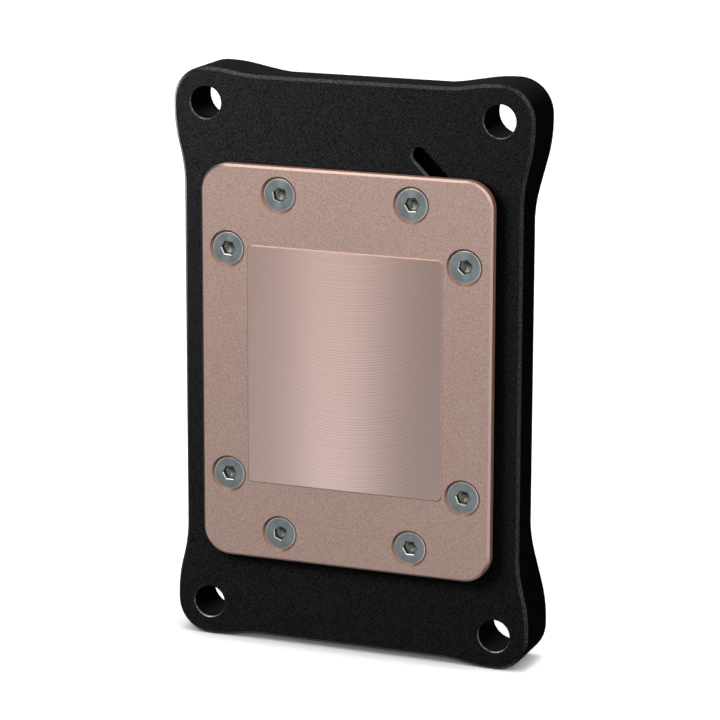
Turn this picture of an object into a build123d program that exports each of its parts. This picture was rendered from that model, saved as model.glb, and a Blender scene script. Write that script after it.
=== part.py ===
"""Water block for a server processor, standing on a short edge with its copper side towards -Y.

The model is drawn on the front face of the black flange: local x runs to the right, local y upwards and
the local normal points out of the copper side, so depths into the body are negative. Millimetres.
"""
from build123d import *
import os
from math import radians, sin, tan

os.makedirs("parts", exist_ok=True)

# Hole pattern and round corner lobes
HOLE_PITCH_X = 56.0
HOLE_PITCH_Y = 94.0
LOBE_R = 6.4
HOLE_R = 2.97
HOLE_CHAMFER = 0.2
COUNTERBORE_R = 3.9
COUNTERBORE_DEPTH = 3.8

# Depth of the whole body, of its flange and of the low step under the copper
BODY_T = 11.2
FLANGE_T = 7.0
STEP_H = 0.9
FRONT_CHAMFER = 0.55
BACK_CHAMFER = 0.4

# Waists: how far each side comes in, the slope of its flanks, the radius of the blends and what is left
# straight beside each lobe
SIDE_WAIST = 1.95
END_WAIST = 1.0
BACK_SIDE_WAIST = 3.25
BACK_END_WAIST = 1.7
SIDE_FLANK_DEG = 15.0
END_FLANK_DEG = 10.4
SIDE_BLEND_R = 27.0
END_BLEND_R = 28.0
SIDE_STRAIGHT = 0.9
END_STRAIGHT = 0.2

# Largest share of a flank that one blend may take, and of the slot's width that its floor bevel may take
BLEND_SHARE = 0.48
BEVEL_SHARE = 0.45
BEVEL_DEG = 45.0

# Copper plate with its raised contact pad
PLATE_X = 55.8
PLATE_Y = 73.1
PLATE_R = 5.1
PLATE_T = 1.9
PLATE_CHAMFER = 0.4
PAD_X = 37.6
PAD_Y = 44.2
PAD_R = 1.0
PAD_RISE = 0.25
PAD_CHAMFER = 0.18

# Coolant chamber, fins and the two flow parts stacked on them
CHAMBER_X = 33.6
CHAMBER_Y = 50.0
CHAMBER_R = 4.0
FIN_T = 0.4
FIN_PITCH = 1.1
FIN_COUNT = 25
FIN_LENGTH = 32.0
FIN_H = 2.6
JET_PLATE_T = 0.4
JET_PLATE_X = 30.0
JET_PLATE_Y = 36.0
JET_SLIT_LENGTH = 26.0
JET_SLIT_W = 1.4
FLOW_PART_R = 2.0
INSERT_T = 2.2
INSERT_X = 30.0
INSERT_BOTTOM = -6.0
INSERT_TOP = 20.0
INSERT_SLOT_W = 3.0
INSERT_CHANNEL_W = 6.0
INSERT_HOLE_R = 5.2
INSERT_EDGE = 0.4

# Ports on the back face
PORT_PLACE = 13.0
PORT_R = 5.72
PORT_MOUTH_R = 6.6
SPOT_FACE_R = 10.0
SPOT_FACE_DEPTH = 0.5

# Flat seal between plate and body
SEAL_LINE_X = 38.0
SEAL_LINE_Y = 55.0
SEAL_LINE_R = 6.0
SEAL_W = 2.0
SEAL_SIDE_GAP = 0.15
SEAL_DEPTH = 1.4

# Countersunk screws with a hexagon socket, how far each is turned, and their countersinks
SCREW_HEAD_R = 3.0
SCREW_R = 1.5
SCREW_LENGTH = 8.0
SOCKET_FLATS = 2.3
SOCKET_DEPTH = 1.3
SINK_R = SCREW_R + PLATE_T
TAP_RUN_OUT = 0.8
END_SCREW_X = 12.65
END_SCREW_INSET = 5.05
SIDE_SCREW_Y = 21.05
SIDE_SCREW_INSET = 5.2
END_SCREW = (END_SCREW_X, PLATE_Y / 2 - END_SCREW_INSET)
SIDE_SCREW = (PLATE_X / 2 - SIDE_SCREW_INSET, SIDE_SCREW_Y)
SCREW_TURNS = [16.0, 4.0, 41.0, 55.0, 59.0, 38.0, 1.0, 52.0]

# Slot for prying the plate off, running down to the right into the step
PRY_END_X = 13.0
PRY_REACH = 3.35
PRY_END = (PRY_END_X, PLATE_Y / 2 + PRY_REACH)
PRY_LENGTH = 6.0
PRY_TURN = -45.0
PRY_W = 3.2
PRY_DEPTH = 2.2
PRY_FLOOR_BEVEL = 0.7

# Levels measured from the flange's front face
FRONT_H = STEP_H + PLATE_T + PAD_RISE
PLATE_FACE = STEP_H + PLATE_T
JET_LEVEL = STEP_H - FIN_H
INSERT_LEVEL = JET_LEVEL - JET_PLATE_T
ROOF_LEVEL = INSERT_LEVEL - INSERT_T
HEAD_LEVEL = PLATE_FACE - (SINK_R - SCREW_HEAD_R)
SCREW_TIP = HEAD_LEVEL - SCREW_LENGTH

# The origin is on the ground, under the middle of the whole depth
HALF_HEIGHT = HOLE_PITCH_Y / 2 + LOBE_R
HALF_WIDTH = HOLE_PITCH_X / 2 + LOBE_R
FACE_Y = (FRONT_H - BODY_T) / 2
FACE = Plane(origin=(0, FACE_Y, HALF_HEIGHT), x_dir=(1, 0, 0), z_dir=(0, -1, 0))
TOL = 0.01


def screw_places():
    """Places of the eight screws, going round from the upper right."""
    places = []
    for sign_x, sign_y in ((1, 1), (-1, 1), (-1, -1), (1, -1)):
        pair = [END_SCREW, SIDE_SCREW] if sign_x * sign_y < 0 else [SIDE_SCREW, END_SCREW]
        places += [(sign_x * x, sign_y * y) for x, y in pair]
    return places


def blend_radius(wanted, waist, angle):
    """The wanted blend radius, or the largest that two blends leave room for on one flank."""
    flank = waist / sin(radians(angle))
    return min(wanted, BLEND_SHARE * flank / tan(radians(angle / 2)))


def waisted_outline(side_waist, end_waist):
    """The four-lobed outline, drawn as a polygon with its corners rounded."""
    side_r = blend_radius(SIDE_BLEND_R, SIDE_WAIST, SIDE_FLANK_DEG)
    end_r = blend_radius(END_BLEND_R, END_WAIST, END_FLANK_DEG)
    side_start = HOLE_PITCH_Y / 2 - SIDE_STRAIGHT - side_r * tan(radians(SIDE_FLANK_DEG / 2))
    end_start = HOLE_PITCH_X / 2 - END_STRAIGHT - end_r * tan(radians(END_FLANK_DEG / 2))
    side_stop = side_start - side_waist / tan(radians(SIDE_FLANK_DEG))
    end_stop = end_start - end_waist / tan(radians(END_FLANK_DEG))
    quarter = [
        (HALF_WIDTH - side_waist, side_stop),
        (HALF_WIDTH, side_start),
        (HALF_WIDTH, HALF_HEIGHT),
        (end_start, HALF_HEIGHT),
        (end_stop, HALF_HEIGHT - end_waist),
    ]
    points = []
    for sign_x, sign_y in ((1, 1), (-1, 1), (-1, -1), (1, -1)):
        corner = [(sign_x * x, sign_y * y) for x, y in quarter]
        points += corner if sign_x * sign_y > 0 else corner[::-1]
    with BuildSketch() as outline:
        with BuildLine():
            Polyline(*points, close=True)
        make_face()
        for (x, y), radius in zip(quarter, (side_r, side_r, LOBE_R, end_r, end_r)):
            fillet([v for v in outline.vertices() if is_at(v, x, y)], radius)
    return outline.sketch


def is_at(corner, x, y):
    """True if a corner of a sketch lies at (x, y) or at one of its three mirror places."""
    return abs(abs(corner.X) - x) < TOL and abs(abs(corner.Y) - y) < TOL


def level_of(shape):
    """Height of a shape's centre above the flange's front face."""
    return FACE_Y - shape.center().Y


def flat_faces(part):
    """The faces of a part that lie across its depth."""
    return part.faces().filter_by(Axis.Y)


def seal_band(width):
    """A closed band that follows the seal's centre line, as wide as asked."""
    with BuildSketch() as band:
        RectangleRounded(SEAL_LINE_X + width, SEAL_LINE_Y + width, SEAL_LINE_R + width / 2)
        RectangleRounded(
            SEAL_LINE_X - width, SEAL_LINE_Y - width, SEAL_LINE_R - width / 2, mode=Mode.SUBTRACT
        )
    return band.sketch


FLANGE_OUTLINE = waisted_outline(SIDE_WAIST, END_WAIST)
BACK_OUTLINE = waisted_outline(BACK_SIDE_WAIST, BACK_END_WAIST)

# Body: waisted flange, narrower back, low step, chamber, ports and holes
with BuildPart() as body:
    with BuildSketch(FACE):
        add(FLANGE_OUTLINE)
    extrude(amount=-FLANGE_T)
    chamfer(flat_faces(body).sort_by(Axis.Y)[0].outer_wire().edges(), FRONT_CHAMFER)
    with BuildSketch(FACE.offset(-FLANGE_T)):
        add(BACK_OUTLINE)
    extrude(amount=-(BODY_T - FLANGE_T))
    chamfer(flat_faces(body).sort_by(Axis.Y)[-1].outer_wire().edges(), BACK_CHAMFER)
    with BuildSketch(FACE):
        RectangleRounded(PLATE_X, PLATE_Y, PLATE_R)
    extrude(amount=STEP_H)
    # Chamber and the groove of the seal, both open towards the copper
    with BuildSketch(FACE.offset(STEP_H)):
        RectangleRounded(CHAMBER_X, CHAMBER_Y, CHAMBER_R)
    extrude(amount=ROOF_LEVEL - STEP_H, mode=Mode.SUBTRACT)
    with BuildSketch(FACE.offset(STEP_H)):
        add(seal_band(SEAL_W + 2 * SEAL_SIDE_GAP))
    extrude(amount=-SEAL_DEPTH, mode=Mode.SUBTRACT)
    # Threaded holes for the screws, with room below the tips
    with BuildSketch(FACE.offset(STEP_H)):
        with Locations(*screw_places()):
            Circle(SCREW_R)
    extrude(amount=SCREW_TIP - TAP_RUN_OUT - STEP_H, mode=Mode.SUBTRACT)
    # Two ports from the back into the chamber, each with a spot face and a bevelled mouth
    with BuildSketch(FACE.offset(-BODY_T)):
        with Locations((0, PORT_PLACE), (0, -PORT_PLACE)):
            Circle(PORT_R)
    extrude(amount=BODY_T + ROOF_LEVEL, mode=Mode.SUBTRACT)
    with BuildSketch(FACE.offset(-BODY_T)):
        with Locations((0, PORT_PLACE), (0, -PORT_PLACE)):
            Circle(SPOT_FACE_R)
    extrude(amount=SPOT_FACE_DEPTH, mode=Mode.SUBTRACT)
    with BuildSketch(FACE.offset(SPOT_FACE_DEPTH - BODY_T)):
        with Locations((0, PORT_PLACE), (0, -PORT_PLACE)):
            Circle(PORT_MOUTH_R)
    extrude(amount=PORT_MOUTH_R - PORT_R, taper=BEVEL_DEG, mode=Mode.SUBTRACT)
    # Corner holes: bevelled in front, wider from the back
    with Locations(FACE):
        with GridLocations(HOLE_PITCH_X, HOLE_PITCH_Y, 2, 2):
            CounterSinkHole(HOLE_R, HOLE_R + HOLE_CHAMFER, counter_sink_angle=2 * BEVEL_DEG)
    with BuildSketch(FACE.offset(-BODY_T)):
        with GridLocations(HOLE_PITCH_X, HOLE_PITCH_Y, 2, 2):
            Circle(COUNTERBORE_R)
    extrude(amount=COUNTERBORE_DEPTH, mode=Mode.SUBTRACT)
    # Pry slot: runs down to the right under the edge of the copper
    with BuildSketch(FACE.offset(STEP_H)):
        with Locations(Location((PRY_END[0], PRY_END[1], 0), (0, 0, PRY_TURN))):
            SlotCenterPoint((PRY_LENGTH / 2, 0), (0, 0), PRY_W)
    extrude(amount=-(STEP_H + PRY_DEPTH), mode=Mode.SUBTRACT)
    slot_floor = [f for f in flat_faces(body) if abs(level_of(f) + PRY_DEPTH) < TOL]
    chamfer(slot_floor[0].outer_wire().edges(), min(PRY_FLOOR_BEVEL, BEVEL_SHARE * PRY_W))
body.part.label = "body"
export_step(body.part, "parts/body.step")

# Copper plate with a raised contact pad in front and fins behind
with BuildPart() as cold_plate:
    with BuildSketch(FACE.offset(STEP_H)):
        RectangleRounded(PLATE_X, PLATE_Y, PLATE_R)
    extrude(amount=PLATE_T)
    chamfer(flat_faces(cold_plate).sort_by(Axis.Y)[0].outer_wire().edges(), PLATE_CHAMFER)
    with BuildSketch(FACE.offset(PLATE_FACE)):
        RectangleRounded(PAD_X, PAD_Y, PAD_R)
    extrude(amount=PAD_RISE)
    chamfer(flat_faces(cold_plate).sort_by(Axis.Y)[0].outer_wire().edges(), PAD_CHAMFER)
    with BuildSketch(FACE.offset(PLATE_FACE)):
        with Locations(*screw_places()):
            Circle(SINK_R)
    extrude(amount=-PLATE_T, taper=BEVEL_DEG, mode=Mode.SUBTRACT)
    with BuildSketch(FACE.offset(STEP_H)):
        with GridLocations(FIN_PITCH, 0, FIN_COUNT, 1):
            Rectangle(FIN_T, FIN_LENGTH)
    extrude(amount=-FIN_H)
cold_plate.part.label = "cold_plate"
export_step(cold_plate.part, "parts/cold_plate.step")

# Thin plate with a slit across the middle of the fins
with BuildPart() as jet_plate:
    with BuildSketch(FACE.offset(JET_LEVEL)):
        RectangleRounded(JET_PLATE_X, JET_PLATE_Y, FLOW_PART_R)
        SlotOverall(JET_SLIT_LENGTH, JET_SLIT_W, mode=Mode.SUBTRACT)
    extrude(amount=-JET_PLATE_T)
jet_plate.part.label = "jet_plate"
export_step(jet_plate.part, "parts/jet_plate.step")

# Guide that joins the upper port to the slit
with BuildPart() as jet_insert:
    with BuildSketch(FACE.offset(INSERT_LEVEL)):
        with Locations((0, (INSERT_TOP + INSERT_BOTTOM) / 2)):
            RectangleRounded(INSERT_X, INSERT_TOP - INSERT_BOTTOM, FLOW_PART_R)
        with Locations((0, PORT_PLACE)):
            Circle(INSERT_HOLE_R, mode=Mode.SUBTRACT)
        with Locations((0, PORT_PLACE / 2)):
            Rectangle(INSERT_CHANNEL_W, PORT_PLACE, mode=Mode.SUBTRACT)
        SlotOverall(JET_SLIT_LENGTH, INSERT_SLOT_W, mode=Mode.SUBTRACT)
    extrude(amount=-INSERT_T)
    chamfer(flat_faces(jet_insert).sort_by(Axis.Y)[-1].outer_wire().edges(), INSERT_EDGE)
jet_insert.part.label = "jet_insert"
export_step(jet_insert.part, "parts/jet_insert.step")

# Seal ring, held between its groove and the copper
with BuildPart() as main_seal:
    with BuildSketch(FACE.offset(STEP_H)):
        add(seal_band(SEAL_W))
    extrude(amount=-SEAL_DEPTH)
main_seal.part.label = "main_seal"
export_step(main_seal.part, "parts/main_seal.step")


def make_screw(place, turn):
    """A countersunk screw on its axis, with its hexagon socket turned by an angle."""
    centre = FACE.from_local_coords((place[0], place[1], 0))
    section = Plane(origin=centre, x_dir=(1, 0, 0), z_dir=(0, 0, -1))
    with BuildPart() as screw:
        with BuildSketch(section):
            with BuildLine():
                Polyline(
                    (0, SCREW_TIP),
                    (SCREW_R, SCREW_TIP),
                    (SCREW_R, HEAD_LEVEL - (SCREW_HEAD_R - SCREW_R)),
                    (SCREW_HEAD_R, HEAD_LEVEL),
                    (0, HEAD_LEVEL),
                    close=True,
                )
            make_face()
        revolve(axis=Axis(centre, (0, -1, 0)))
        with BuildSketch(FACE.offset(HEAD_LEVEL)):
            with Locations(place):
                RegularPolygon(SOCKET_FLATS / 2, 6, major_radius=False, rotation=turn)
        extrude(amount=-SOCKET_DEPTH, mode=Mode.SUBTRACT)
    return screw.part


for number, (place, turn) in enumerate(zip(screw_places(), SCREW_TURNS), start=1):
    screw_part = make_screw(place, turn)
    screw_part.label = f"screw_{number}"
    export_step(screw_part, f"parts/screw_{number}.step")
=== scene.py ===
"""Looks of the water block: finishes, turned screws, port threads, studio light and camera."""

import bmesh
import bpy
import math
from mathutils import Matrix, Vector


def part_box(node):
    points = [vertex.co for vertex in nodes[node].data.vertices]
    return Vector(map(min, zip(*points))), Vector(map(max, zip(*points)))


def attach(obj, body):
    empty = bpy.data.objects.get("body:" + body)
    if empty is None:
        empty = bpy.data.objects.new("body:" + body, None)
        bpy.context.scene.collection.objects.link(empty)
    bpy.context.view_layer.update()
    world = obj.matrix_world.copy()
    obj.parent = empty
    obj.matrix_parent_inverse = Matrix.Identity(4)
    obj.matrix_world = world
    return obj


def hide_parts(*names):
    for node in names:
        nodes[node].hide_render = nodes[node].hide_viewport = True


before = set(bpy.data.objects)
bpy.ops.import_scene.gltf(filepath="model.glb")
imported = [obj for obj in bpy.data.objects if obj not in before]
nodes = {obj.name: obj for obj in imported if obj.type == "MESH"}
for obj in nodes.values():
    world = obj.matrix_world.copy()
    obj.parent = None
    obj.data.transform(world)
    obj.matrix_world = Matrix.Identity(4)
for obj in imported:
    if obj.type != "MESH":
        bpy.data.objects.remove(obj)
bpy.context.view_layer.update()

MM = 0.001

# Levels and places on the solids, in metres
FACE_Y = -4.075 * MM
BACK_Y = 7.125 * MM
MIDDLE_Z = 53.4 * MM
PLATE_FACE = 2.8 * MM
PAD_HALF_X = 18.8 * MM
PAD_HALF_Z = 22.1 * MM
HOLE_X = 28.0 * MM
HOLE_Z = 47.0 * MM
PORT_HEIGHTS = (66.4 * MM, 40.4 * MM)
SLOT_END = (13.0 * MM, 93.3 * MM)

# Arcs that the cutter left on the pad, and the painted light on its lower end
CUTTER_R = 34.0 * MM
CUTTER_FEED = 0.5 * MM
WAVE_SHARE = 0.15
PAINTED_LIGHT_SHARE = 0.2


class Shader:
    """A material's node tree with short calls to add and join nodes."""

    def __init__(self, name, **values):
        self.material = bpy.data.materials.new(name)
        self.material.use_nodes = True
        self.tree = self.material.node_tree
        self.surface = self.tree.nodes["Principled BSDF"]
        for key, value in values.items():
            self.surface.inputs[key.replace("_", " ")].default_value = value

    def node(self, kind, **values):
        made = self.tree.nodes.new(kind)
        for key, value in values.items():
            setattr(made, key, value)
        return made

    def join(self, source, target):
        self.tree.links.new(source, target)

    def feed(self, source, name):
        self.join(source, self.surface.inputs[name])

    def place(self):
        return self.node("ShaderNodeTexCoord").outputs["Object"]

    def vector(self, operation, source, second=None):
        made = self.node("ShaderNodeVectorMath", operation=operation)
        self.join(source, made.inputs[0])
        if second is not None:
            made.inputs[1].default_value = second
        return made.outputs["Value" if operation == "LENGTH" else "Vector"]

    def calc(self, operation, first, second):
        made = self.node("ShaderNodeMath", operation=operation)
        for source, socket in ((first, made.inputs[0]), (second, made.inputs[1])):
            if isinstance(source, float):
                socket.default_value = source
            else:
                self.join(source, socket)
        return made.outputs["Value"]

    def noise(self, scale, detail=2.0, rough=0.5):
        made = self.node("ShaderNodeTexNoise")
        made.inputs["Scale"].default_value = scale
        made.inputs["Detail"].default_value = detail
        made.inputs["Roughness"].default_value = rough
        self.join(self.place(), made.inputs["Vector"])
        return made.outputs["Fac"]

    def line_noise(self, source, scale, detail=2.0):
        made = self.node("ShaderNodeTexNoise", noise_dimensions="1D")
        made.inputs["Scale"].default_value = scale
        made.inputs["Detail"].default_value = detail
        self.join(source, made.inputs["W"])
        return made.outputs["Fac"]

    def ramp(self, source, low, high, first, last):
        """Colour first below low and last above high, and a blend between them."""
        made = self.node("ShaderNodeValToRGB")
        for element, place, colour in zip(made.color_ramp.elements, (low, high), (first, last)):
            element.position = place
            element.color = (*colour, 1.0)
        self.join(source, made.inputs["Fac"])
        return made.outputs["Color"]

    def bump(self, source, distance, strength=1.0):
        made = self.node("ShaderNodeBump")
        made.inputs["Strength"].default_value = strength
        made.inputs["Distance"].default_value = distance
        self.join(source, made.inputs["Height"])
        self.feed(made.outputs["Normal"], "Normal")


# Finishes
def blasted_black(name, high):
    """Fine blasted grain under a black coating, for the front and back faces, the back's copy lighter as
    painted light.
    """
    s = Shader(name, Roughness=0.6, Specular_IOR_Level=0.02)
    grain = s.noise(8200.0, 2.0, 0.7)
    s.feed(s.ramp(grain, 0.46, 0.57, (0.0002, 0.0002, 0.0003), high), "Base Color")
    s.bump(grain, 0.00009, 1.0)
    return s.material


def smooth_black():
    """The smoother walls and the low step under the copper."""
    s = Shader("smooth_black", Roughness=0.36, Specular_IOR_Level=0.12)
    tone = s.noise(900.0)
    s.feed(s.ramp(tone, 0.3, 0.8, (0.0016, 0.0016, 0.0018), (0.003, 0.003, 0.0034)), "Base Color")
    s.bump(s.noise(5200.0), 0.000008, 0.5)
    return s.material


def bevel_black(name, low, high):
    """The bevels, cut bright before the coating; the lighter copy on the corner holes' bevels is a
    painted highlight.
    """
    s = Shader(name, Roughness=0.4, Metallic=1.0)
    s.feed(s.ramp(s.noise(3000.0), 0.35, 0.65, low, high), "Base Color")
    return s.material


def plate_copper():
    """Copper of the plate with the fine grain of a light blast."""
    s = Shader("plate_copper", Metallic=1.0, Roughness=0.46)
    grain = s.noise(8200.0, 2.0, 0.6)
    s.feed(s.ramp(grain, 0.36, 0.62, (0.49, 0.34, 0.29), (0.86, 0.615, 0.53)), "Base Color")
    s.bump(grain, 0.00002, 0.5)
    return s.material


def pad_copper():
    """The contact pad with the cutter's arcs, and painted light that makes its lower end lighter and less
    red.
    """
    s = Shader("pad_copper", Metallic=1.0, Roughness=0.56, Anisotropic=0.97)
    parts = s.node("ShaderNodeSeparateXYZ")
    s.join(s.place(), parts.inputs["Vector"])
    x = parts.outputs["X"]
    drop = s.calc("SQRT", s.calc("SUBTRACT", CUTTER_R * CUTTER_R, s.calc("MULTIPLY", x, x)), 0.0)
    across = s.node("ShaderNodeCombineXYZ")
    s.join(x, across.inputs["X"])
    s.join(s.calc("MULTIPLY", drop, -1.0), across.inputs["Z"])
    s.feed(s.vector("NORMALIZE", across.outputs["Vector"]), "Tangent")
    reach = s.calc("ADD", parts.outputs["Z"], drop)
    wave = s.calc("SINE", s.calc("MULTIPLY", reach, 2 * math.pi / CUTTER_FEED), 0.0)
    lines = s.calc("ADD", s.line_noise(reach, 5000.0), s.calc("MULTIPLY", wave, WAVE_SHARE))
    # Painted light: the pad's base colour grows lighter and less red below its middle
    below_middle = s.calc("SUBTRACT", MIDDLE_Z, parts.outputs["Z"])
    fade = s.calc("MULTIPLY", below_middle, PAINTED_LIGHT_SHARE / PAD_HALF_Z)
    tone = s.calc("ADD", lines, fade)
    s.feed(s.ramp(tone, 0.1, 0.9, (0.745, 0.53, 0.465), (1.0, 0.79, 0.735)), "Base Color")
    s.bump(lines, 0.000004, 0.6)
    return s.material


def edge_copper():
    """The bright chamfer round the plate."""
    s = Shader("edge_copper", Metallic=1.0, Roughness=0.42)
    s.feed(s.ramp(s.noise(3000.0), 0.35, 0.65, (0.80, 0.56, 0.49), (0.92, 0.66, 0.58)), "Base Color")
    return s.material


def wall_copper():
    """The duller side walls of the plate."""
    s = Shader("wall_copper", Metallic=1.0, Roughness=0.7)
    s.feed(s.ramp(s.noise(3000.0), 0.35, 0.65, (0.70, 0.40, 0.31), (0.82, 0.49, 0.39)), "Base Color")
    return s.material


def sink_shaded_copper():
    """The countersinks, in a darker copper as painted shade in these recesses."""
    s = Shader("sink_shaded_copper", Metallic=1.0, Roughness=0.5)
    s.feed(s.ramp(s.noise(2600.0), 0.35, 0.65, (0.37, 0.22, 0.175), (0.47, 0.285, 0.23)), "Base Color")
    return s.material


def port_black():
    """The lathe-smooth faces in and round the ports."""
    s = Shader("port_black", Roughness=0.42, Specular_IOR_Level=0.4)
    s.feed(s.ramp(s.noise(1800.0), 0.3, 0.7, (0.040, 0.040, 0.042), (0.056, 0.056, 0.058)), "Base Color")
    s.bump(s.noise(6000.0), 0.000006, 0.5)
    return s.material


def slot_floor_shade():
    """The floor of the slot, nearly black and without gloss as painted shade in the recess."""
    s = Shader("slot_floor_shade", Roughness=0.6, Specular_IOR_Level=0.0)
    tone = s.noise(2600.0)
    s.feed(s.ramp(tone, 0.3, 0.7, (0.0002, 0.0002, 0.0003), (0.0006, 0.0006, 0.0008)), "Base Color")
    return s.material


def slot_wall_highlight():
    """The walls of the slot, in a light bluish metal as a painted highlight where light catches them."""
    s = Shader("slot_wall_highlight", Metallic=1.0, Roughness=0.75)
    s.feed(s.ramp(s.noise(2600.0), 0.35, 0.65, (0.30, 0.36, 0.39), (0.38, 0.46, 0.49)), "Base Color")
    return s.material


def turned_steel():
    """Lightly blued steel of the screw heads with the rings of the lathe."""
    s = Shader("turned_steel", Metallic=1.0, Roughness=0.3, Anisotropic=0.85)
    across = s.vector("MULTIPLY", s.place(), (1.0, 0.0, 1.0))
    s.feed(s.vector("NORMALIZE", across), "Tangent")
    rings = s.line_noise(s.vector("LENGTH", across), 5200.0)
    s.feed(s.ramp(rings, 0.3, 0.72, (0.27, 0.315, 0.325), (0.40, 0.455, 0.46)), "Base Color")
    s.bump(rings, 0.000004, 0.7)
    return s.material


def rim_highlight_steel():
    """The rounded rim of the heads and the bevel of the sockets, in a much lighter steel as a painted
    highlight.
    """
    s = Shader("rim_highlight_steel", Metallic=1.0, Roughness=0.2)
    s.feed(s.ramp(s.noise(2500.0), 0.3, 0.7, (0.70, 0.70, 0.66), (0.86, 0.86, 0.82)), "Base Color")
    return s.material


def socket_shade_steel():
    """The steel inside the sockets, darker as painted shade in these recesses."""
    s = Shader("socket_shade_steel", Metallic=1.0, Roughness=0.28)
    s.feed(s.ramp(s.noise(2500.0), 0.3, 0.7, (0.10, 0.10, 0.08), (0.26, 0.26, 0.23)), "Base Color")
    return s.material


def sheet_steel():
    """Plain sheet of the jet plate."""
    s = Shader("sheet_steel", Metallic=1.0, Roughness=0.35)
    s.feed(s.ramp(s.noise(2000.0), 0.3, 0.7, (0.45, 0.45, 0.46), (0.56, 0.56, 0.57)), "Base Color")
    return s.material


def moulded_black(name, roughness):
    """Black moulded plastic or rubber with a faint texture."""
    s = Shader(name, Roughness=roughness, Specular_IOR_Level=0.4)
    texture = s.noise(2800.0)
    s.feed(s.ramp(texture, 0.3, 0.7, (0.012, 0.012, 0.013), (0.022, 0.022, 0.024)), "Base Color")
    s.bump(texture, 0.00001, 0.4)
    return s.material


BLASTED = blasted_black("blasted_front", (0.0100, 0.0100, 0.0105))
# The back face has the front's coating; this copy is eight times lighter as painted light
BLASTED_BACK_PAINTED_LIGHT = blasted_black("blasted_back_painted_light", (0.08, 0.08, 0.082))
SMOOTH = smooth_black()
BEVEL = bevel_black("bevel_black", (0.018, 0.017, 0.0177), (0.078, 0.072, 0.076))
# Lighter copy of the bevel finish for the corner holes: painted highlight
HOLE_BEVEL_HIGHLIGHT = bevel_black("hole_bevel_highlight", (0.04, 0.04, 0.04), (0.17, 0.17, 0.17))
COPPER = plate_copper()
PAD = pad_copper()
EDGE_COPPER = edge_copper()
WALL_COPPER = wall_copper()
# Darker copper for the countersinks: painted shade
SINK_SHADE = sink_shaded_copper()
PORT = port_black()
# Painted shade on the slot's floor
SLOT_FLOOR_SHADE = slot_floor_shade()
# Painted highlight on the slot's walls
SLOT_WALL_HIGHLIGHT = slot_wall_highlight()
HEAD_STEEL = turned_steel()
# Much lighter steel for the rims and socket bevels: painted highlight
RIM_HIGHLIGHT_STEEL = rim_highlight_steel()
# Darker steel inside the sockets: painted shade
SOCKET_SHADE_STEEL = socket_shade_steel()
SHEET = sheet_steel()
PLASTIC = moulded_black("insert_plastic", 0.5)
RUBBER = moulded_black("seal_rubber", 0.7)

# Limits that tell the faces of the solids apart, by their tilt, place and depth
FLAT = 0.97
WALL = 0.3
BEVEL_TILT = (0.5, 0.85)
CHAMFER_TILT = (0.6, 0.8)
SAME_LEVEL = 0.02 * MM
OUTLINE_X = 27.6 * MM
OUTLINE_Z = 37.0 * MM
BEVEL_DEPTH = 0.7 * MM
HOLE_BEVEL_R = 3.4 * MM
PORT_FACE_R = 10.2 * MM
PORT_START_Y = 0.3 * MM
SLOT_ROOM = 3.0 * MM
SLOT_REACH = 14.0 * MM
SLOT_LIP = 0.1 * MM
SINK_ROOM = 1.0 * MM
PAD_LIP = 0.2 * MM
SCREW_BOXES = [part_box(f"screw_{number}") for number in range(1, 9)]


def body_material(normal, centre):
    """Blasted flat faces, bright front bevels, turned ports, a milled slot and smooth walls."""
    flat = abs(normal.y) > FLAT
    if flat and abs(centre.y - FACE_Y) < SAME_LEVEL:
        return BLASTED
    if flat and abs(centre.y - BACK_Y) < SAME_LEVEL:
        return BLASTED_BACK_PAINTED_LIGHT
    tilted = BEVEL_TILT[0] < abs(normal.y) < BEVEL_TILT[1]
    outside = abs(centre.x) > OUTLINE_X or abs(centre.z - MIDDLE_Z) > OUTLINE_Z
    if tilted and outside and FACE_Y < centre.y < FACE_Y + BEVEL_DEPTH:
        # Bevels round the corner holes get the painted highlight
        from_hole = math.hypot(abs(centre.x) - HOLE_X, abs(centre.z - MIDDLE_Z) - HOLE_Z)
        return HOLE_BEVEL_HIGHLIGHT if from_hole < HOLE_BEVEL_R else BEVEL
    for height in PORT_HEIGHTS:
        if math.hypot(centre.x, centre.z - height) < PORT_FACE_R and centre.y > PORT_START_Y:
            return PORT
    right = centre.x - SLOT_END[0]
    down = SLOT_END[1] - centre.z
    near_slot = abs(right - down) < SLOT_ROOM and -SLOT_ROOM < right + down < SLOT_REACH
    # In the slot: painted highlight on the walls, painted shade on the floor
    if near_slot and centre.y > FACE_Y + SLOT_LIP:
        return SLOT_WALL_HIGHLIGHT if abs(normal.y) < WALL else SLOT_FLOOR_SHADE
    return SMOOTH


def plate_material(normal, centre):
    """The milled pad, the countersinks, the chamfer and walls, and blasted copper elsewhere."""
    if CHAMFER_TILT[0] < -normal.y < CHAMFER_TILT[1]:
        # Countersink faces get the darker copper, painted shade
        for low, high in SCREW_BOXES:
            beside = low[0] - SINK_ROOM < centre.x < high[0] + SINK_ROOM
            level = low[2] - SINK_ROOM < centre.z < high[2] + SINK_ROOM
            if beside and level:
                return SINK_SHADE
        return COPPER if centre.y < FACE_Y - PLATE_FACE else EDGE_COPPER
    if abs(normal.y) < WALL and centre.y < FACE_Y:
        return WALL_COPPER
    on_pad = abs(centre.x) < PAD_HALF_X and abs(centre.z - MIDDLE_Z) < PAD_HALF_Z
    proud = centre.y < FACE_Y - PLATE_FACE - PAD_LIP and normal.y < -FLAT
    return PAD if on_pad and proud else COPPER


def paint(name, choose):
    """Gives each face of a CAD node the material that choose picks from its normal and centre."""
    mesh = nodes[name].data
    mesh.materials.clear()
    order = []
    for polygon in mesh.polygons:
        material = choose(polygon.normal, polygon.center)
        if material not in order:
            order.append(material)
            mesh.materials.append(material)
        polygon.material_index = order.index(material)


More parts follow.
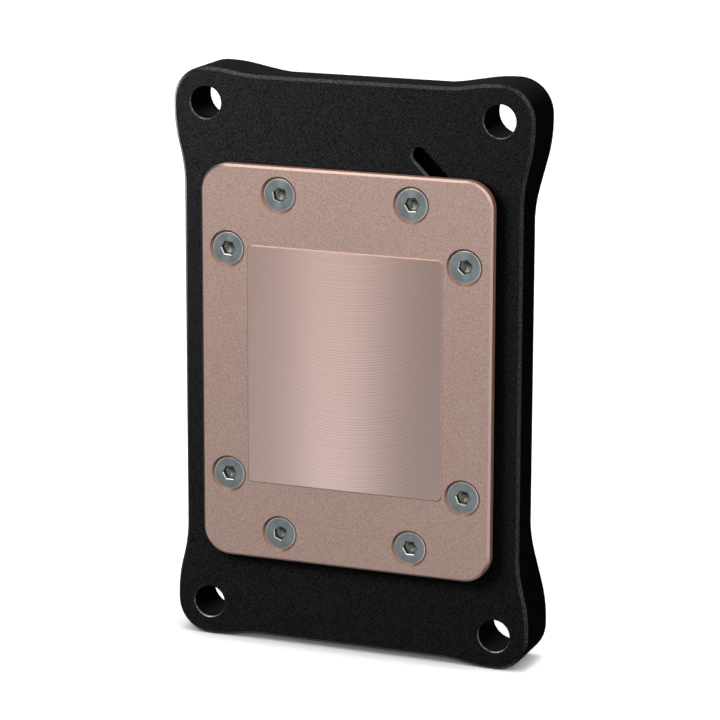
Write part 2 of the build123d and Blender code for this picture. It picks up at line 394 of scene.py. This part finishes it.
paint("body", body_material)
paint("cold_plate", plate_material)
paint("jet_plate", lambda normal, centre: SHEET)
paint("jet_insert", lambda normal, centre: PLASTIC)
paint("main_seal", lambda normal, centre: RUBBER)

# Screws
SEGMENTS = 96
SCREW_R = 1.5 * MM
HEAD_R = 3.0 * MM
HEAD_LEVEL = 2.4 * MM
RIM = ((2.93, 2.33), (2.94, 2.36), (2.915, 2.385), (2.87, 2.396), (2.80, 2.40))
RIM_START_R = 2.8 * MM
RIM_DEPTH = 0.07 * MM
TIP_LEVEL = -5.6 * MM
TIP_BEVEL = 0.25 * MM
FLAT_RING_R = 1.7 * MM
SOCKET_R = 1.15 * MM
SOCKET_ZONE_R = 1.4 * MM
SOCKET_BEVEL_R = 1.5 * MM
SOCKET_BEVEL = 0.12 * MM
SOCKET_DEPTH = 1.0 * MM
DRILL_R = 1.04 * MM
DRILL_DEPTH = 0.42 * MM
SHARP = math.radians(28.0)
SCREW_TURNS = (16.0, 4.0, 41.0, 55.0, 59.0, 38.0, 1.0, 52.0)


def ring_point(radius, level, angle, hexagon, turn):
    """A point of a round or hexagonal ring round the local Y axis, levels going towards -Y."""
    if hexagon:
        sixth = math.pi / 3
        radius = radius / math.cos((angle - turn) % sixth - sixth / 2)
    return (radius * math.cos(angle), -level, radius * math.sin(angle))


def screw_rings():
    """Rings from the tip over the head and down into the socket: radius, level and if it is a hexagon."""
    top = HEAD_LEVEL
    rings = [
        (SCREW_R - TIP_BEVEL, TIP_LEVEL, False),
        (SCREW_R, TIP_LEVEL + TIP_BEVEL, False),
        (SCREW_R, HEAD_LEVEL - (HEAD_R - SCREW_R), False),
    ]
    rings += [(radius * MM, level * MM, False) for radius, level in RIM]
    rings += [
        (FLAT_RING_R, top, False),
        (SOCKET_R + SOCKET_BEVEL, top, True),
        (SOCKET_R, top - SOCKET_BEVEL, True),
        (SOCKET_R, top - SOCKET_DEPTH, True),
        (DRILL_R, top - SOCKET_DEPTH, False),
        (DRILL_R / 2, top - SOCKET_DEPTH - DRILL_DEPTH / 2, False),
    ]
    return rings, top - SOCKET_DEPTH - DRILL_DEPTH


def mark_edges(mesh):
    """Smooth shading, with every edge bent by more than SHARP kept as a crease."""
    work = bmesh.new()
    work.from_mesh(mesh)
    bmesh.ops.recalc_face_normals(work, faces=work.faces)
    for face in work.faces:
        face.smooth = True
    for edge in work.edges:
        edge.smooth = edge.calc_face_angle(0.0) < SHARP
    work.to_mesh(mesh)
    work.free()


def add_piece(name, points, faces, place):
    """A mesh object at a place, riding on the body."""
    mesh = bpy.data.meshes.new(name)
    mesh.from_pydata(points, [], faces)
    piece = bpy.data.objects.new(name, mesh)
    piece.location = place
    bpy.context.scene.collection.objects.link(piece)
    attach(piece, "root")
    return piece


def make_screw(number, turn_degrees):
    """A countersunk screw with a rounded rim, a bevelled socket and a drilled floor."""
    low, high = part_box(f"screw_{number}")
    place = ((low[0] + high[0]) / 2, FACE_Y, (low[2] + high[2]) / 2)
    turn = math.radians(turn_degrees)
    rings, apex = screw_rings()
    points = []
    for radius, level, hexagon in rings:
        for k in range(SEGMENTS):
            angle = turn + 2 * math.pi * k / SEGMENTS
            points.append(ring_point(radius, level, angle, hexagon, turn))
    faces = [tuple(range(SEGMENTS))]
    for r in range(len(rings) - 1):
        for k in range(SEGMENTS):
            a = r * SEGMENTS + k
            b = r * SEGMENTS + (k + 1) % SEGMENTS
            faces.append((a, b, b + SEGMENTS, a + SEGMENTS))
    points.append((0.0, -apex, 0.0))
    last = (len(rings) - 1) * SEGMENTS
    for k in range(SEGMENTS):
        faces.append((last + k, last + (k + 1) % SEGMENTS, len(points) - 1))
    piece = add_piece(f"turned_screw_{number}", points, faces, place)
    mark_edges(piece.data)
    for material in (HEAD_STEEL, RIM_HIGHLIGHT_STEEL, SOCKET_SHADE_STEEL):
        piece.data.materials.append(material)
    for polygon in piece.data.polygons:
        x, y, z = polygon.center
        reach = math.hypot(x, z)
        depth = HEAD_LEVEL + y
        on_bevel = reach < SOCKET_BEVEL_R and 0.0 < depth < SOCKET_BEVEL
        on_rim = reach > RIM_START_R and 0.0 < depth < RIM_DEPTH
        # Rim and socket bevel: the painted highlight steel
        if on_bevel or on_rim:
            polygon.material_index = 1
        # Inside the socket: the painted shade steel
        elif reach < SOCKET_ZONE_R and SOCKET_BEVEL < depth < HEAD_LEVEL:
            polygon.material_index = 2
    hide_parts(f"screw_{number}")


for number, turn_degrees in enumerate(SCREW_TURNS, start=1):
    make_screw(number, turn_degrees)

# Threads of the two ports
PORT_R = 5.72 * MM
THREAD_PITCH = 1.337 * MM
THREAD_H = 0.36 * MM
THREAD_SINK = 0.03 * MM
THREAD_START = 0.35 * MM
THREAD_TURNS = 3.7
THREAD_STEPS = 64
FADE_TURNS = 0.25
FOOT_SHARE = 0.46
CREST_SHARE = 0.08
LEAST_HEIGHT = 0.1


def make_thread(number, height):
    """A helical ridge in a port, fading out at both ends."""
    count = int(THREAD_TURNS * THREAD_STEPS)
    points = []
    for k in range(count + 1):
        angle = 2 * math.pi * k / THREAD_STEPS
        middle = THREAD_START + THREAD_PITCH * (0.5 + k / THREAD_STEPS)
        fade = min(1.0, k / THREAD_STEPS / FADE_TURNS, (count - k) / THREAD_STEPS / FADE_TURNS)
        crest = PORT_R - THREAD_H * (LEAST_HEIGHT + (1.0 - LEAST_HEIGHT) * fade)
        root = PORT_R + THREAD_SINK
        rising = ((root, -FOOT_SHARE), (crest, -CREST_SHARE))
        falling = ((crest, CREST_SHARE), (root, FOOT_SHARE))
        for radius, shift in rising + falling:
            y = middle + shift * THREAD_PITCH
            points.append((radius * math.cos(angle), y, radius * math.sin(angle)))
    faces = [(0, 1, 2, 3), tuple(4 * count + k for k in (3, 2, 1, 0))]
    for k in range(count):
        for side in range(4):
            a = 4 * k + side
            b = 4 * k + (side + 1) % 4
            faces.append((a, b, b + 4, a + 4))
    piece = add_piece(f"port_thread_{number}", points, faces, (0.0, 0.0, height))
    mark_edges(piece.data)
    piece.data.materials.append(PORT)
    return piece


threads = [make_thread(number, height) for number, height in enumerate(PORT_HEIGHTS, start=1)]

# Studio: a white floor with lamps of its own, soft patches of light all round, a strip up at the
# front left, and two lamps that light only the black body and its threads
FLOOR_SIZE = 6.0
FLOOR_GLOW = 0.08
FLOOR_LAMP_PLACE = (0.09, 0.02, 1.0)
FLOOR_LIGHTS = ((20.0, 1.3), (110.0, 1.95))
STRIP_PLACE = (-0.12, -0.21, 0.298)
STRIP_AIM = (-0.12, 0.0, MIDDLE_Z)
STRIP_WATTS = 0.56
SIDE_LAMP_PLACE = (-0.075, -0.12, 0.13)
SIDE_LAMP_WATTS = 0.69
BACK_LAMP_PLACE = (-0.38, 0.26, 0.10)
BACK_LAMP_WATTS = 1.5
BODY_MIDDLE = (0.0, 0.0, MIDDLE_Z)
DARK = 0.012
SOFT_PATCHES = [
    ((-0.42, -0.88, -0.14), 0.97, 0.72, 0.36),
    ((-0.82, -0.54, 0.16), 0.97, 0.85, 0.75),
    ((0.20, -0.95, -0.24), 0.97, 0.82, 0.52),
    ((0.57, -0.39, 0.71), 0.95, 0.70, 1.05),
    ((0.93, -0.36, -0.15), 0.97, 0.80, 0.68),
    ((-0.20, 0.10, -1.00), 0.95, 0.65, 0.35),
    ((-0.20, 0.70, 0.70), 0.95, 0.65, 0.10),
]


def make_floor():
    """A white floor that glows a little and that the other pieces neither mirror nor are lit by."""
    bpy.ops.mesh.primitive_plane_add(size=FLOOR_SIZE, location=(0.0, 0.0, 0.0))
    floor = bpy.context.object
    floor.name = "floor"
    white = (0.92, 0.92, 0.92, 1.0)
    s = Shader("floor_white", Roughness=0.9, Specular_IOR_Level=0.0, Base_Color=white)
    s.surface.inputs["Emission Color"].default_value = (1.0, 1.0, 1.0, 1.0)
    s.surface.inputs["Emission Strength"].default_value = FLOOR_GLOW
    floor.data.materials.append(s.material)
    floor.visible_glossy = False
    floor.visible_diffuse = False
    return floor


def add_lamp(name, kind, place, aim, power, **values):
    """A lamp at a place that shines towards aim."""
    data = bpy.data.lights.new(name, kind)
    data.energy = power
    for key, value in values.items():
        setattr(data, key, value)
    lamp = bpy.data.objects.new(name, data)
    bpy.context.scene.collection.objects.link(lamp)
    lamp.location = place
    lamp.rotation_euler = (Vector(aim) - Vector(place)).to_track_quat("-Z", "Y").to_euler()
    return lamp


def light_only(lamp, name, pieces):
    """Limits a lamp to some objects."""
    group = bpy.data.collections.new(name)
    for piece in pieces:
        group.objects.link(piece)
    lamp.light_linking.receiver_collection = group


def make_world():
    """Dark surroundings with soft bright patches, which the camera itself sees as plain white."""
    world = bpy.data.worlds.new("studio")
    world.use_nodes = True
    tree = world.node_tree
    background = tree.nodes["Background"]
    direction = tree.nodes.new("ShaderNodeTexCoord").outputs["Generated"]
    total = None
    for aim, near, far, light in SOFT_PATCHES:
        facing = tree.nodes.new("ShaderNodeVectorMath")
        facing.operation = "DOT_PRODUCT"
        facing.inputs[1].default_value = Vector(aim).normalized()
        tree.links.new(direction, facing.inputs[0])
        patch = tree.nodes.new("ShaderNodeMapRange")
        patch.interpolation_type = "SMOOTHERSTEP"
        patch.inputs["From Min"].default_value = far
        patch.inputs["From Max"].default_value = near
        patch.inputs["To Max"].default_value = light
        tree.links.new(facing.outputs["Value"], patch.inputs["Value"])
        if total is None:
            patch.inputs["To Min"].default_value = DARK
            total = patch.outputs["Result"]
        else:
            adding = tree.nodes.new("ShaderNodeMath")
            adding.operation = "ADD"
            tree.links.new(total, adding.inputs[0])
            tree.links.new(patch.outputs["Result"], adding.inputs[1])
            total = adding.outputs["Value"]
    tree.links.new(total, background.inputs["Strength"])
    background.inputs["Color"].default_value = (1.0, 1.0, 1.0, 1.0)
    seen = tree.nodes.new("ShaderNodeBackground")
    seen.inputs["Color"].default_value = (1.0, 1.0, 1.0, 1.0)
    path = tree.nodes.new("ShaderNodeLightPath")
    mix = tree.nodes.new("ShaderNodeMixShader")
    tree.links.new(path.outputs["Is Camera Ray"], mix.inputs["Fac"])
    tree.links.new(background.outputs["Background"], mix.inputs[1])
    tree.links.new(seen.outputs["Background"], mix.inputs[2])
    tree.links.new(mix.outputs["Shader"], tree.nodes["World Output"].inputs["Surface"])
    bpy.context.scene.world = world


floor = make_floor()
make_world()
strip_form = {"shape": "RECTANGLE", "size": 0.16, "size_y": 0.50}
side_form = {"shape": "DISK", "size": 0.09}
back_form = {"shape": "DISK", "size": 0.24}
add_lamp("strip", "AREA", STRIP_PLACE, STRIP_AIM, STRIP_WATTS, **strip_form)
side_lamp = add_lamp("side_lamp", "AREA", SIDE_LAMP_PLACE, BODY_MIDDLE, SIDE_LAMP_WATTS, **side_form)
back_lamp = add_lamp("back_lamp", "AREA", BACK_LAMP_PLACE, BODY_MIDDLE, BACK_LAMP_WATTS, **back_form)
for lamp in (side_lamp, back_lamp):
    light_only(lamp, "black_only", [nodes["body"], *threads])
for spread, power in FLOOR_LIGHTS:
    angle = math.radians(spread)
    lamp = add_lamp("floor_lamp", "SUN", FLOOR_LAMP_PLACE, (0.0, 0.0, 0.0), power, angle=angle)
    light_only(lamp, "floor_only", [floor])
bpy.context.scene.view_settings.view_transform = "Standard"

# Camera
CAMERA_PLACE = Vector((212.522, -542.623, 195.074)) * MM
CAMERA_AIM = Vector((0.438, -4.075, 58.528)) * MM
CAMERA_ROLL = math.radians(-0.0999)
CAMERA_LENS = 165.313
CAMERA_SHIFT = (0.01111, -0.025)
SENSOR_WIDTH = 36.0
camera_data = bpy.data.cameras.new("camera")
camera_data.sensor_width = SENSOR_WIDTH
camera_data.lens = CAMERA_LENS
camera_data.shift_x, camera_data.shift_y = CAMERA_SHIFT
camera = bpy.data.objects.new("camera", camera_data)
bpy.context.scene.collection.objects.link(camera)
camera_turn = (CAMERA_AIM - CAMERA_PLACE).to_track_quat("-Z", "Y").to_matrix()
camera_turn = camera_turn @ Matrix.Rotation(-CAMERA_ROLL, 3, "Z")
camera.matrix_world = Matrix.Translation(CAMERA_PLACE) @ camera_turn.to_4x4()
bpy.context.scene.camera = camera
